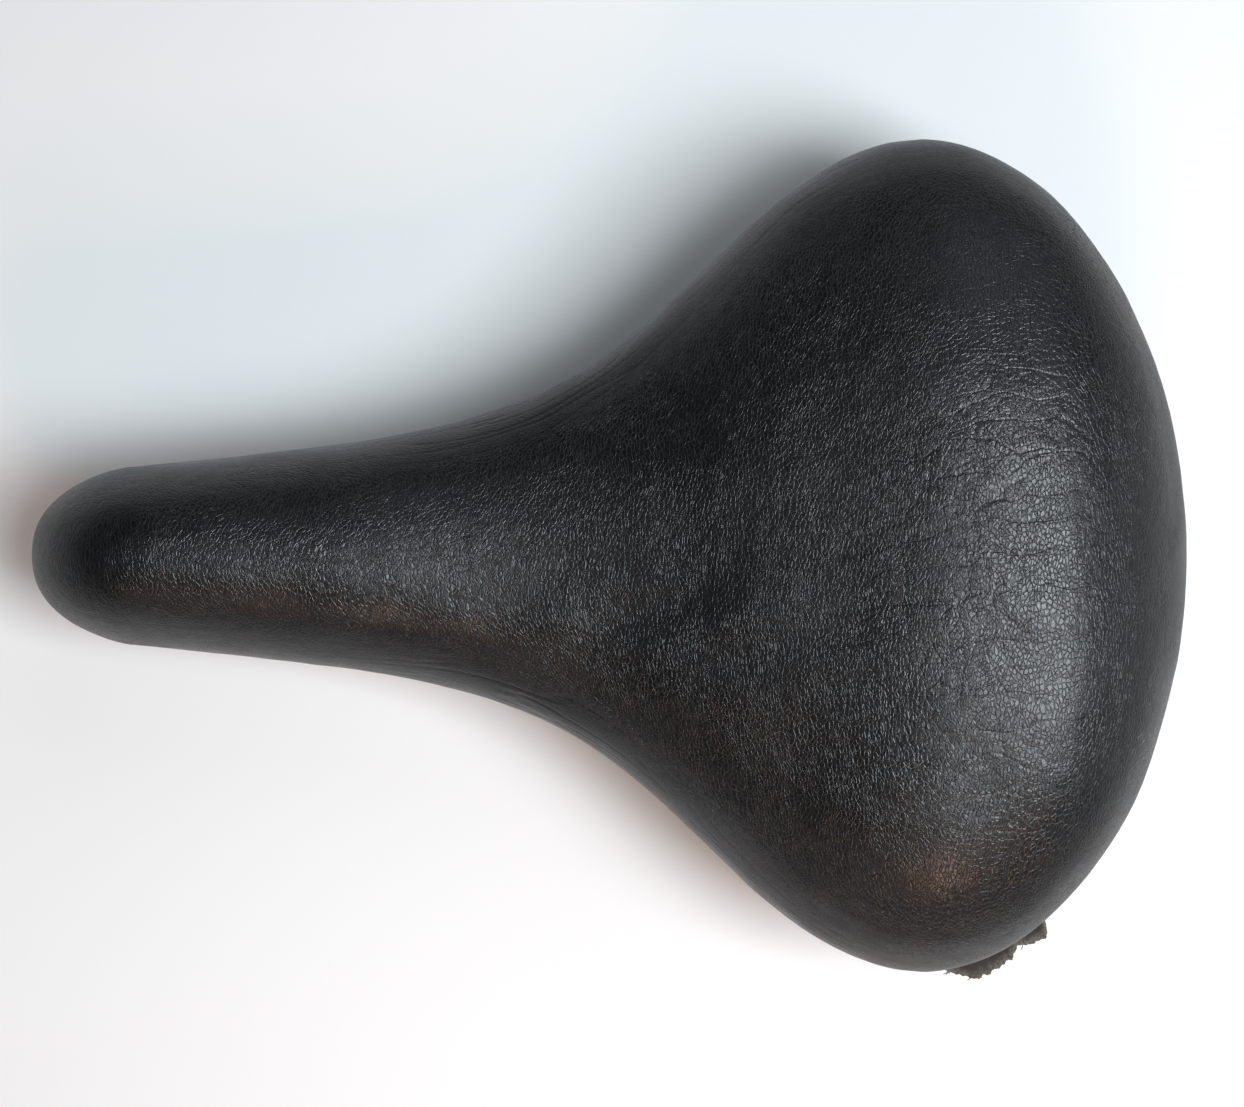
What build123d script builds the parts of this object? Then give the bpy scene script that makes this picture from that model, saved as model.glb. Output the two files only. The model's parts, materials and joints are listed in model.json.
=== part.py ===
from build123d import *
import math
import os
import numpy as np

# Sprung bicycle saddle: a padded, leathercloth-covered seat on a moulded shell, which pivots on the
# front bar of a one-piece wire rail and rides on two coil springs, with a clip for a plain seat pillar.
# Frame: +X towards the nose, +Z up, origin at the centre of the clip's pillar bore. Millimetres.

os.makedirs("parts", exist_ok=True)

# ---------------------------------------------------------------- driving dimensions
LENGTH = 275.0          # nose tip to tail
NOSE_X = 125.0          # nose tip
MAX_HALF = 98.6         # half of the greatest width
COVER_T = 1.2           # leathercloth
SIDE_FOAM = 2.5         # foam on the skirt
SHELL_T = 2.8           # moulded shell wall
FLANGE_T = 2.8          # shell rim flange
HEM = 8.0              # width of the cover's turned-under hem

RAIL_R = 3.5            # 7 mm rail wire
RAIL_Y = 22.0           # rails stand 44 mm apart, centre to centre
RAIL_Z = -9.0           # clamping length of the rails, below the clip's cross bolt
REAR_Z = -1.0           # rails' rear ends
BAR_X, BAR_Z = 75.0, 33.0   # the rail's front cross bar, on which the seat pivots
BAR_Y = 12.5
STAND_Z = -15.5         # lowest level: the clip's cheeks and the spring bolts' heads

PILLAR_R = 11.15        # bore for a 22.2 mm pillar
STRAP_T = 3.0
STRAP_H = 28.0
BOLT_X = -26.0          # clip's cross bolt
BOLT_R = 4.0

SPRING_X, SPRING_Y = -94.0, 50.0
SPRING_LOW, SPRING_TOP = -5.0, 41.0
SPRING_R, SPRING_WIRE = 16.25, 2.75
SPRING_TURNS = 4.0

# ---------------------------------------------------------------- shape of the seat
D_W = [24.0, 29.5, 35.4, 41.4, 53.3, 65.2, 77.1, 89.0, 100.9, 112.8, 124.7, 136.6, 148.4, 160.3, 172.2, 184.1, 196.0, 205.0, 213.0]
H_W = [21.4, 22.0, 22.7, 23.3, 24.5, 25.9, 27.4, 29.3, 31.7, 35.2, 40.1, 47.0, 55.9, 66.9, 78.3, 88.0, 94.8, 97.8, 98.6]
D_T = [0, 30, 70, 115, 150, 185, 215, 235, 255, 275]
Z_T = [57, 59, 57.5, 55.5, 59.5, 69, 75.5, 76.5, 74.5, 70]
D_R = [0, 60, 120, 180, 225, 275]
Z_R = [22, 25, 29.5, 31, 33.5, 39]
D_F = [0, 100, 150, 200, 275]
T_F = [8, 8.5, 11, 17, 17]


def hermite(xs, ys, x):
    """Smooth curve through the knots, straight beyond the ends."""
    xs, ys = np.array(xs, float), np.array(ys, float)
    h, s = np.diff(xs), np.diff(ys) / np.diff(xs)
    m = np.zeros(len(xs))
    m[0], m[-1] = s[0], s[-1]
    for i in range(1, len(xs) - 1):
        m[i] = 0.0 if s[i - 1] * s[i] <= 0 else (s[i - 1] * h[i] + s[i] * h[i - 1]) / (h[i - 1] + h[i])
    x = min(max(float(x), xs[0]), xs[-1])
    i = min(int(np.searchsorted(xs, x, side="right")) - 1, len(xs) - 2)
    t = (x - xs[i]) / h[i]
    return float((2 * t**3 - 3 * t**2 + 1) * ys[i] + (t**3 - 2 * t**2 + t) * h[i] * m[i]
                 + (-2 * t**3 + 3 * t**2) * ys[i + 1] + (t**3 - t**2) * h[i] * m[i + 1])


def half_width(d):
    if d <= 0 or d >= LENGTH:
        return 0.0
    if d < 24.0:
        return 22.36 * (1 - (1 - d / 35.0) ** 2.15) ** (1 / 2.15)
    if d > LENGTH - 62.0:
        return MAX_HALF * (1 - (1 - (LENGTH - d) / 62.0) ** 1.9) ** (1 / 1.9)
    return hermite(D_W, H_W, d)


OUT_D = np.concatenate([24 * np.linspace(0, 1, 60) ** 2, np.linspace(24, 213, 260)[1:-1], LENGTH - 62 * np.linspace(1, 0, 120) ** 2])
OUT_W = np.array([half_width(d) for d in OUT_D])


def inset_outline(inset):
    """The plan outline moved inwards by inset: distances from the nose tip, and half widths."""
    tx, ty = np.gradient(OUT_D), np.gradient(OUT_W)
    n = np.hypot(tx, ty)
    d, w = OUT_D + ty / n * inset, OUT_W - tx / n * inset
    keep = w > 0
    d, w = d[keep], w[keep]
    order = np.argsort(d)
    d, w = d[order], w[order]
    return np.concatenate([[inset], d, [LENGTH - inset]]), np.concatenate([[0.0], w, [0.0]])


def stations(inset):
    a, b = inset, LENGTH - inset
    nose = a + 34 * np.linspace(0, 1, 8)[1:] ** 2
    mid = np.linspace(a + 34, b - 46, 13)[1:-1]
    tail = b - 46 * np.linspace(1, 0, 9)[:-1] ** 2
    return np.concatenate([nose, mid, tail])


def end_factor(d, inset):
    a, b = inset, LENGTH - inset
    f = 1.0
    if d < a + 36:
        f *= (1 - (1 - (d - a) / 36) ** 2.3) ** (1 / 2.3)
    if d > b - 38:
        f *= (1 - (1 - (b - d) / 38) ** 2.2) ** (1 / 2.2)
    return f


def power(d):
    return hermite([0, 100, 150, 200, 275], [2.3, 2.3, 2.45, 2.75, 2.7], d)


def seat_solid(inset, top, floor_up, below=0.0, points=13):
    """The seat's domed solid, taken in by inset at the side and by top(d) at the crown.
    floor_up lifts its flat underside from the rim line, and below drops it."""
    od, ow = inset_outline(inset)
    sections = []
    share = [float(v) for v in np.linspace(0, 1, points)]
    for d in stations(inset):
        w = float(np.interp(d, od, ow))
        zr = hermite(D_R, Z_R, d) + floor_up
        h = (hermite(D_T, Z_T, d) - top(d) - zr) * end_factor(d, inset)
        n = power(d)
        phi = np.linspace(0, math.pi, points)
        y = np.sign(np.cos(phi)) * np.abs(np.cos(phi)) ** (2 / n) * w
        z = zr + np.abs(np.sin(phi)) ** (2 / n) * h
        y[0], y[-1], z[0], z[-1] = w, -w, zr, zr
        x = NOSE_X - d
        pts = [Vector(x, a, b) for a, b in zip(y, z)]
        edges = [Edge.make_spline(pts, parameters=share)]
        if below:
            edges += [Line(pts[-1], Vector(x, -w, zr - below)), Line(Vector(x, -w, zr - below), Vector(x, w, zr - below)),
                      Line(Vector(x, w, zr - below), pts[0])]
        else:
            edges += [Line(pts[-1], pts[0])]
        sections.append(Wire(edges))
    return Solid.make_loft(sections)


def slab(inset, low, high):
    """A plate that follows the rim line, from low to high above it, to the inset outline."""
    od, ow = inset_outline(inset)
    sections = []
    for d in stations(inset):
        w, zr, x = float(np.interp(d, od, ow)), hermite(D_R, Z_R, d), NOSE_X - d
        sections.append(Wire.make_polygon([Vector(x, w, zr + low), Vector(x, w, zr + high), Vector(x, -w, zr + high), Vector(x, -w, zr + low)]))
    return Solid.make_loft(sections)



def foam(d):
    return COVER_T + hermite(D_F, T_F, d)


def rim(d):
    return hermite(D_R, Z_R, d)


def solid_of(shape):
    """The shape's solids as one compound or solid, slivers dropped."""
    found = [s for s in shape.solids() if s.volume > 1.0]
    return found[0] if len(found) == 1 else Compound(found)


nodes = {}

# ---------------------------------------------------------------- helpers
def box(x0, x1, y0, y1, z0, z1):
    return Pos((x0 + x1) / 2, (y0 + y1) / 2, (z0 + z1) / 2) * Box(x1 - x0, y1 - y0, z1 - z0)


def rod_z(x, y, r, z0, z1):
    return Pos(x, y, (z0 + z1) / 2) * Cylinder(r, z1 - z0)


def rod_y(x, z, r, y0, y1):
    return Pos(x, (y0 + y1) / 2, z) * Rot(90, 0, 0) * Cylinder(r, y1 - y0)


def rod_x(y, z, r, x0, x1):
    return Pos((x0 + x1) / 2, y, z) * Rot(0, 90, 0) * Cylinder(r, x1 - x0)


def hex_z(x, y, flats, z0, z1):
    return Pos(x, y, z0) * extrude(RegularPolygon(flats / 2, 6, major_radius=False), z1 - z0)


def hex_y(x, z, flats, y0, y1):
    return Pos(x, y0, z) * Rot(-90, 0, 0) * extrude(RegularPolygon(flats / 2, 6, major_radius=False), y1 - y0)


def mirrored(shape):
    return mirror(shape, about=Plane.XZ)


# ---------------------------------------------------------------- the seat
outer = seat_solid(0.0, lambda d: 0.0, 0.0)
under_cover = seat_solid(COVER_T, lambda d: COVER_T, COVER_T)
shell_out = seat_solid(COVER_T + SIDE_FOAM, foam, COVER_T + FLANGE_T / 2)
shell_in = seat_solid(COVER_T + SIDE_FOAM + SHELL_T, lambda d: foam(d) + SHELL_T, COVER_T + FLANGE_T + 0.4, below=8.0)
rib_low = seat_solid(COVER_T + SIDE_FOAM + SHELL_T + 2.0, lambda d: foam(d) + SHELL_T + 5.5, COVER_T + FLANGE_T + 0.8, below=9.0)
flange = slab(COVER_T + 0.3, COVER_T + 0.05, COVER_T + FLANGE_T)
flange_cut = slab(COVER_T + 0.3, -2.0, COVER_T + FLANGE_T)
hem_hole = slab(HEM, -3.0, COVER_T + 1.0)

nodes["cover"] = solid_of(outer - under_cover - hem_hole)
nodes["foam_pad"] = solid_of(under_cover - shell_out - flange_cut)

PLATE_LOW, PLATE_TOP = SPRING_TOP, SPRING_TOP + 2.5
# Moulded features under the dome: ribs, four screw bosses, two spring bosses and the upper half of the nose bearing.
ribs = [box(-62, 62, 8, 10, 0, 90), box(-62, 62, -10, -8, 0, 90), box(-56, -54, -90, 90, 0, 90),
        box(-20, -18, -60, 60, 0, 90), box(18, 20, -40, 40, 0, 90), box(-126, -124, -75, 75, 0, 90)]
rib_set = [q for r in ribs for q in ((r & shell_out) - rib_low).solids()]
screw_at = [(SPRING_X + a, b) for a in (-7.5, 7.5) for b in (-23, 23)]
towers = [rod_z(x, y, 5.0, PLATE_TOP, 90) for x, y in screw_at]
towers += [rod_z(SPRING_X, y, 15.0, PLATE_TOP, 90) for y in (SPRING_Y, -SPRING_Y)]
towers += [box(64, 86, -5, 5, BAR_Z, 90)]
towers = [t & shell_out for t in towers]
shell = ((shell_out + flange) - shell_in).fuse(*rib_set, *towers)
cuts = [rod_z(x, y, 1.9, PLATE_TOP - 1, PLATE_TOP + 10) for x, y in screw_at]
for y in (SPRING_Y, -SPRING_Y):
    cuts += [rod_z(SPRING_X, y, 4.1, PLATE_TOP - 1, 56), hex_z(SPRING_X, y, 13.1, PLATE_TOP - 1, PLATE_TOP + 6.8)]
cuts += [rod_y(BAR_X, BAR_Z, RAIL_R + 0.06, -6, 6)]
cuts += [rod_z(x, 0, 1.7, BAR_Z - 1, 42) for x in (67.5, 82.5)]
nodes["base_shell"] = solid_of(shell.cut(*cuts))

# Cap of the nose bearing, with its two screws.
cap = box(64, 86, -5, 5, 27.0, BAR_Z)
cap = fillet(cap.edges().filter_by(Axis.Y).group_by(Axis.Z)[0], 2.0)
cap = cap - rod_y(BAR_X, BAR_Z, RAIL_R + 0.06, -6, 6)
for x in (67.5, 82.5):
    cap = cap - rod_z(x, 0, 1.75, 20, 40)
nodes["nose_bearing_cap"] = solid_of(cap)


def pan_screw(x, y, head_r, head_low, head_top, r, tip):
    head = fillet(rod_z(x, y, head_r, head_low, head_top).edges().filter_by(GeomType.CIRCLE).group_by(Axis.Z)[0], (head_top - head_low) * 0.6)
    screw = head + rod_z(x, y, r, head_top - 0.1, tip)
    return screw - box(x - 0.5, x + 0.5, y - 2.2, y + 2.2, head_low - 1, head_low + 0.9) - box(x - 2.2, x + 2.2, y - 0.5, y + 0.5, head_low - 1, head_low + 0.9)


nodes["nose_cap_screws"] = Compound([solid_of(pan_screw(x, 0, 3.1, 25.0, 27.0, 1.65, 41)) for x in (67.5, 82.5)])

# Upper spring plate under the shell.
def spring_plate(z0, z1, web_x0, web_x1):
    shape = box(web_x0, web_x1, -SPRING_Y, SPRING_Y, z0, z1)
    for y in (SPRING_Y, -SPRING_Y):
        shape = shape + rod_z(SPRING_X, y, 20.0, z0, z1)
    inner = [e for e in shape.edges().filter_by(Axis.Z) if abs(e.center().Y) < SPRING_Y - 5]
    return fillet(inner, 9.0)


upper = spring_plate(PLATE_LOW, PLATE_TOP, SPRING_X - 13, SPRING_X + 13)
upper = upper - box(SPRING_X - 4, SPRING_X + 4, -12, 12, 0, 90)
for x, y in screw_at:
    upper = upper - rod_z(x, y, 2.2, 30, 60)
for y in (SPRING_Y, -SPRING_Y):
    upper = upper - rod_z(SPRING_X, y, 4.1, 30, 60)
nodes["upper_spring_plate"] = solid_of(upper)
nodes["upper_plate_screws"] = Compound([solid_of(pan_screw(x, y, 4.0, PLATE_LOW - 2.4, PLATE_LOW, 1.85, PLATE_LOW + 11)) for x, y in screw_at])


def cup(y, low):
    """Dished washer that centres a spring's end turn, with a tab over the end of its wire."""
    prof = [(4.15, 0), (10.2, 0), (13.1, 2.4), (13.1, 8.1), (11.7, 8.1), (11.7, 3.0), (9.7, 1.6), (4.15, 1.6)]
    ring = revolve(Plane.XZ * Polygon(*prof, align=None), Axis.Z)
    tab = Rot(0, 0, 15) * box(11.8, 18.2, -3.2, 3.2, 6.6, 8.1)
    shape = ring + tab
    if low:
        return solid_of(Pos(SPRING_X, y, SPRING_LOW) * shape)
    return solid_of(Pos(SPRING_X, y, SPRING_TOP) * Rot(180, 0, 0) * shape)


for side, y in (("left", SPRING_Y), ("right", -SPRING_Y)):
    nodes[f"{side}_upper_spring_cup"] = cup(y, False)
    nodes[f"{side}_lower_spring_cup"] = cup(y, True)
    nodes[f"{side}_upper_spring_bolt"] = solid_of(hex_z(SPRING_X, y, 13.0, PLATE_LOW - 7.1, PLATE_LOW - 1.6) + rod_z(SPRING_X, y, 4.0, PLATE_LOW - 1.7, 54.5))
    nodes[f"{side}_upper_spring_nut"] = solid_of(hex_z(SPRING_X, y, 13.0, PLATE_TOP + 0.05, PLATE_TOP + 6.55) - rod_z(SPRING_X, y, 4.02, 30, 60))
    nodes[f"{side}_lower_spring_bolt"] = solid_of(hex_z(SPRING_X, y, 13.0, STAND_Z, STAND_Z + 5.5) + rod_z(SPRING_X, y, 4.0, STAND_Z + 5.4, 5.5))
    nodes[f"{side}_lower_spring_nut"] = solid_of(hex_z(SPRING_X, y, 13.0, SPRING_LOW + 1.6, SPRING_LOW + 8.1) - rod_z(SPRING_X, y, 4.02, -20, 20))
nodes["lower_spring_washers"] = Compound([solid_of(rod_z(SPRING_X, y, 8.0, STAND_Z + 5.5, STAND_Z + 7.5) - rod_z(SPRING_X, y, 4.15, -20, 0)) for y in (SPRING_Y, -SPRING_Y)])

# ---------------------------------------------------------------- rail wire and lower spring bracket
rail_points = [(-112, RAIL_Y, REAR_Z), (-76, RAIL_Y, REAR_Z), (-62, RAIL_Y, RAIL_Z), (26, RAIL_Y, RAIL_Z), (60.5, BAR_Y, BAR_Z), (BAR_X, BAR_Y, BAR_Z)]
rail_points += [(x, -y, z) for x, y, z in reversed(rail_points)]
rail_radii = [20, 20, 22, 14, 7.5, 7.5, 14, 22, 20, 20]
rail_path = FilletPolyline(*rail_points, radius=rail_radii)
rail_section = Plane(origin=rail_points[0], z_dir=(1, 0, 0)) * Circle(RAIL_R)
rail = sweep(rail_section, path=rail_path)
print("rail_wire volume over section times length:", round(rail.volume / (math.pi * RAIL_R**2 * rail_path.length), 4))
nodes["rail_wire"] = solid_of(rail)

lower = spring_plate(SPRING_LOW - 3.0, SPRING_LOW, SPRING_X - 12, SPRING_X + 12)
for x0, x1 in ((SPRING_X - 12, SPRING_X - 9.5), (SPRING_X + 9.5, SPRING_X + 12)):
    wall = box(x0, x1, -30, 30, SPRING_LOW - 3.0, REAR_Z + 7.5)
    wall = fillet(wall.edges().filter_by(Axis.X).group_by(Axis.Z)[-1], 6.0)
    lower = lower + wall
for y in (RAIL_Y, -RAIL_Y):
    lower = lower - rod_x(y, REAR_Z, RAIL_R + 0.02, -120, -70)
for y in (SPRING_Y, -SPRING_Y):
    lower = lower - rod_z(SPRING_X, y, 4.1, -20, 20)
nodes["lower_spring_bracket"] = solid_of(lower)

# ---------------------------------------------------------------- coil springs
PITCH = (SPRING_TOP - SPRING_LOW - 2 * SPRING_WIRE - 0.1) / SPRING_TURNS
for side, y in (("left", SPRING_Y), ("right", -SPRING_Y)):
    coil = Helix(pitch=PITCH, height=PITCH * SPRING_TURNS, radius=SPRING_R)
    start = coil @ 0
    wire = sweep(Plane(origin=start, z_dir=coil % 0) * Circle(SPRING_WIRE), path=coil, is_frenet=True)
    nodes[f"{side}_spring"] = solid_of(Pos(SPRING_X, y, SPRING_LOW + SPRING_WIRE + 0.05) * wire)
    print(side, "spring", nodes[f"{side}_spring"].volume, "expected", math.pi * SPRING_WIRE**2 * SPRING_TURNS * math.hypot(2 * math.pi * SPRING_R, PITCH))

# ---------------------------------------------------------------- seat clip
strap = rod_z(0, 0, PILLAR_R + STRAP_T, -STRAP_H / 2, STRAP_H / 2)
for y0 in (1.75, -4.75):
    strap = strap + box(BOLT_X, -8, y0, y0 + 3.0, -11, 11) + rod_y(BOLT_X, 0, 11, y0, y0 + 3.0)
strap = strap - rod_z(0, 0, PILLAR_R, -30, 30) - box(-20, 0, -1.75, 1.75, -30, 30) - rod_y(BOLT_X, 0, BOLT_R + 0.08, -10, 10)
nodes["clip_strap"] = solid_of(strap)


def jaw(y0, y1):
    plate = box(BOLT_X - 15, BOLT_X + 15, y0, y1, STAND_Z, -1.0)
    plate = fillet(plate.edges().filter_by(Axis.Y), 3.5)
    return plate + rod_y(BOLT_X, 0, 10.0, y0, y1)


groove = rod_x(RAIL_Y, RAIL_Z, RAIL_R + 0.05, -60, 20)
bolt_hole = rod_y(BOLT_X, 0, BOLT_R + 0.03, -50, 50)
inner = rod_y(BOLT_X, 0, 11.0, 5.0, 8.5) + rod_y(BOLT_X, 0, 8.5, 8.4, 15.1) + jaw(15.0, 21.3) - groove - bolt_hole
outer_jaw = jaw(22.7, 27.2) - groove - bolt_hole
nodes["left_inner_cheek"] = solid_of(inner)
nodes["right_inner_cheek"] = solid_of(mirrored(inner))
nodes["left_outer_cheek"] = solid_of(outer_jaw)
nodes["right_outer_cheek"] = solid_of(mirrored(outer_jaw))
stud = rod_y(BOLT_X, 0, BOLT_R, -38, 38)
nodes["clip_cross_bolt"] = solid_of(chamfer(stud.edges().filter_by(GeomType.CIRCLE), 0.8))
washer = rod_y(BOLT_X, 0, 8.0, 27.25, 28.85) - rod_y(BOLT_X, 0, 4.2, 20, 40)
nut = hex_y(BOLT_X, 0, 13.0, 28.95, 35.45) - rod_y(BOLT_X, 0, BOLT_R + 0.05, 20, 40)
nodes["left_clip_washer"] = solid_of(washer)
nodes["right_clip_washer"] = solid_of(mirrored(washer))
nodes["left_clip_nut"] = solid_of(nut)
nodes["right_clip_nut"] = solid_of(mirrored(nut))

# ---------------------------------------------------------------- staples and the loose strip of hem
def rim_slope(x):
    return (rim(NOSE_X - x - 0.5) - rim(NOSE_X - x + 0.5)) / 1.0


hem_d, hem_w = inset_outline(4.3)
run = np.concatenate([[0], np.cumsum(np.hypot(np.diff(hem_d), np.diff(hem_w)))])
staples, leg_holes = [], []
count = 17
for k in range(count):
    s0 = run[-1] * (k + 0.5) / count
    a, b = np.interp([s0 - 0.5, s0 + 0.5], run, hem_d), np.interp([s0 - 0.5, s0 + 0.5], run, hem_w)
    d0, w0 = a.mean(), b.mean()
    if 207 < d0 < 245:
        sides = (-1,)   # pulled out where the hem has come loose
    else:
        sides = (1, -1)
    for sg in sides:
        x0 = NOSE_X - d0
        slope = rim_slope(x0)
        t = Vector(-(a[1] - a[0]), sg * (b[1] - b[0]), -(a[1] - a[0]) * slope)
        place = Plane(origin=(x0, sg * w0, rim(d0) - 0.03), x_dir=t, z_dir=(slope, 0, -1))
        crown = Pos(0, 0, 0.3) * Box(10, 1.2, 0.6)
        legs = [Pos(a, 0, -1.4) * Box(0.6, 1.2, 3.0) for a in (-4.7, 4.7)]
        staples.append(solid_of(place * (crown + legs[0] + legs[1])))
        leg_holes += [place * Pos(a, 0, -0.5) * Box(0.62, 1.22, 4.9) for a in (-4.7, 4.7)]
nodes["hem_staples"] = Compound(staples)
for name in ("cover", "base_shell"):
    nodes[name] = solid_of(nodes[name].cut(*leg_holes))

flap_d = np.linspace(219, 241.5, 10)
flap_reach = [0.4, 2.6, 4.3, 4.6, 3.9, 3.8, 1.6, 3.7, 4.4, 0.6]
od, ow = OUT_D, OUT_W
outer_edge, inner_edge = [], []
for d0, reach in zip(flap_d, flap_reach):
    w0 = half_width(d0)
    tx, ty = 1.0, (half_width(d0 + 0.5) - half_width(d0 - 0.5))
    n = math.hypot(tx, ty)
    for keep, off in ((outer_edge, reach), (inner_edge, -9.0)):
        d1, w1 = d0 - ty / n * off, w0 + tx / n * off
        keep.append((NOSE_X - d1, w1))
xm = NOSE_X - 230.0
slope = rim_slope(xm)
zm = min(rim(NOSE_X - x) - slope * (x - xm) for x, _ in outer_edge + inner_edge) - 0.9
flap = Wire.make_polygon([Vector(x, y, zm + slope * (x - xm)) for x, y in outer_edge + inner_edge[::-1]])
nodes["torn_hem_flap"] = solid_of(extrude(Face(flap), amount=1.1, dir=(0, 0, -1)))

for name, shape in nodes.items():
    export_step(shape, f"parts/{name}.step")
    if not shape.is_valid:
        print("INVALID", name)
print(len(nodes), "nodes written")
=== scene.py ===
import bpy
import json
import math
import numpy as np
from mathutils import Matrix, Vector


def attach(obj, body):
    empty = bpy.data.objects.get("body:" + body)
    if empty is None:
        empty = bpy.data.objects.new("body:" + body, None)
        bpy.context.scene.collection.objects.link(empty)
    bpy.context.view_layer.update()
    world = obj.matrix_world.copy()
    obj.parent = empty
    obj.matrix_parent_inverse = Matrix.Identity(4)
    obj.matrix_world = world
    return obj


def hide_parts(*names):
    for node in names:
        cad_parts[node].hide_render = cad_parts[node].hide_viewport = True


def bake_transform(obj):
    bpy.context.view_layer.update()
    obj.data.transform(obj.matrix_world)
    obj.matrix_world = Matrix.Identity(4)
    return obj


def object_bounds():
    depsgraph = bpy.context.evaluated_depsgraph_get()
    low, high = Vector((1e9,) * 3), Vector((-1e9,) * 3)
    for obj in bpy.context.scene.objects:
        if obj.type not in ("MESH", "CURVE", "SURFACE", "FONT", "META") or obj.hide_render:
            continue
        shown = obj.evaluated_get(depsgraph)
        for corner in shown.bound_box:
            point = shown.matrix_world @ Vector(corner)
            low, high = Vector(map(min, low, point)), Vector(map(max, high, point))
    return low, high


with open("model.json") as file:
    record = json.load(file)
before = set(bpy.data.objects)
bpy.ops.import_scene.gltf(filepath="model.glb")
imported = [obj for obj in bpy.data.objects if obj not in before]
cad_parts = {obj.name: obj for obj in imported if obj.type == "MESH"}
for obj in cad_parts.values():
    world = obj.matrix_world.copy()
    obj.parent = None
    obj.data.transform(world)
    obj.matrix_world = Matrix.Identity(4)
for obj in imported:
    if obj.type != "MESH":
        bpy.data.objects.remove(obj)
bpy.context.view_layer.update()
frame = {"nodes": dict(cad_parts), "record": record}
nodes = frame["nodes"]
MM = 0.001

# ------------------------------------------------------------------ the seat's shape (millimetres, as in the CAD)
LENGTH, NOSE_X, MAX_HALF = 275.0, 125.0, 98.6
D_W = [24.0, 29.5, 35.4, 41.4, 53.3, 65.2, 77.1, 89.0, 100.9, 112.8, 124.7, 136.6, 148.4, 160.3, 172.2, 184.1, 196.0, 205.0, 213.0]
H_W = [21.4, 22.0, 22.7, 23.3, 24.5, 25.9, 27.4, 29.3, 31.7, 35.2, 40.1, 47.0, 55.9, 66.9, 78.3, 88.0, 94.8, 97.8, 98.6]
D_T = [0, 30, 70, 115, 150, 185, 215, 235, 255, 275]
Z_T = [57, 59, 57.5, 55.5, 59.5, 69, 75.5, 76.5, 74.5, 70]
D_R = [0, 60, 120, 180, 225, 275]
Z_R = [22, 25, 29.5, 31, 33.5, 39]
D_F = [0, 100, 150, 200, 275]
T_F = [8, 8.5, 11, 17, 17]
ROLL = 1.4      # radius of the rolled lower edge
HEM = 8.0       # turned-under hem
SKIN = 1.15     # leathercloth thickness


def hermite(xs, ys, x):
    xs, ys = np.array(xs, float), np.array(ys, float)
    h, s = np.diff(xs), np.diff(ys) / np.diff(xs)
    m = np.zeros(len(xs))
    m[0], m[-1] = s[0], s[-1]
    for i in range(1, len(xs) - 1):
        m[i] = 0.0 if s[i - 1] * s[i] <= 0 else (s[i - 1] * h[i] + s[i] * h[i - 1]) / (h[i - 1] + h[i])
    x = np.clip(np.asarray(x, float), xs[0], xs[-1])
    i = np.clip(np.searchsorted(xs, x, side="right") - 1, 0, len(xs) - 2)
    t = (x - xs[i]) / h[i]
    return ((2 * t**3 - 3 * t**2 + 1) * ys[i] + (t**3 - 2 * t**2 + t) * h[i] * m[i]
            + (-2 * t**3 + 3 * t**2) * ys[i + 1] + (t**3 - t**2) * h[i] * m[i + 1])


def half_width(d):
    d = np.clip(np.asarray(d, float), 0.0, LENGTH)
    nose = 22.36 * (1 - np.clip(1 - d / 35.0, 0, 1) ** 2.15) ** (1 / 2.15)
    tail = MAX_HALF * (1 - np.clip(1 - (LENGTH - d) / 62.0, 0, 1) ** 1.9) ** (1 / 1.9)
    return np.where(d < 24.0, nose, np.where(d > LENGTH - 62.0, tail, hermite(D_W, H_W, d)))


def rim(d):
    return hermite(D_R, Z_R, d)


def end_factor(d):
    f = (1 - np.clip(1 - d / 36, 0, 1) ** 2.3) ** (1 / 2.3)
    return f * (1 - np.clip(1 - (LENGTH - d) / 38, 0, 1) ** 2.2) ** (1 / 2.2)


def power(d):
    return hermite([0, 100, 150, 200, 275], [2.3, 2.3, 2.45, 2.75, 2.7], d)


def height(x, y, lift=ROLL, drop=0.0):
    """Top surface over the plan point x, y. lift raises its lower edge from the rim line, and drop lowers the crown."""
    d = NOSE_X - x
    w = np.maximum(half_width(d), 1e-6)
    n = power(d)
    u = np.clip(np.abs(y) / w, 0, 1)
    zr = rim(d) + lift
    h = (hermite(D_T, Z_T, d) - drop - zr) * end_factor(d)
    return zr + np.maximum(h, 0) * (1 - u**n) ** (1 / n)


def outline(count):
    """Closed plan outline with count points a side, evenly spaced: x, y and the outward normal."""
    d = np.concatenate([24 * np.linspace(0, 1, 400) ** 2, np.linspace(24, 213, 1500)[1:-1], LENGTH - 62 * np.linspace(1, 0, 600) ** 2])
    w = half_width(d)
    run = np.concatenate([[0], np.cumsum(np.hypot(np.diff(d), np.diff(w)))])
    s = np.linspace(0, run[-1], count + 1)
    d, w = np.interp(s, run, d), np.interp(s, run, w)
    x = np.concatenate([NOSE_X - d, (NOSE_X - d)[-2:0:-1]])
    y = np.concatenate([w, -w[-2:0:-1]])
    tx, ty = np.roll(x, -1) - np.roll(x, 1), np.roll(y, -1) - np.roll(y, 1)
    n = np.hypot(tx, ty)
    nx, ny = -ty / n, tx / n
    flip = np.sign(nx * (x + 12) + ny * y).sum()
    if flip < 0:
        nx, ny = -nx, -ny
    length = np.concatenate([s, 2 * run[-1] - s[-2:0:-1]])
    return x, y, nx, ny, length


# ------------------------------------------------------------------ noise, seeded
def table(seed):
    r = np.random.RandomState(seed)
    perm = r.permutation(256)
    g = r.normal(size=(256, 3))
    return np.concatenate([perm, perm, perm]), g / np.linalg.norm(g, axis=1)[:, None]


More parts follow.
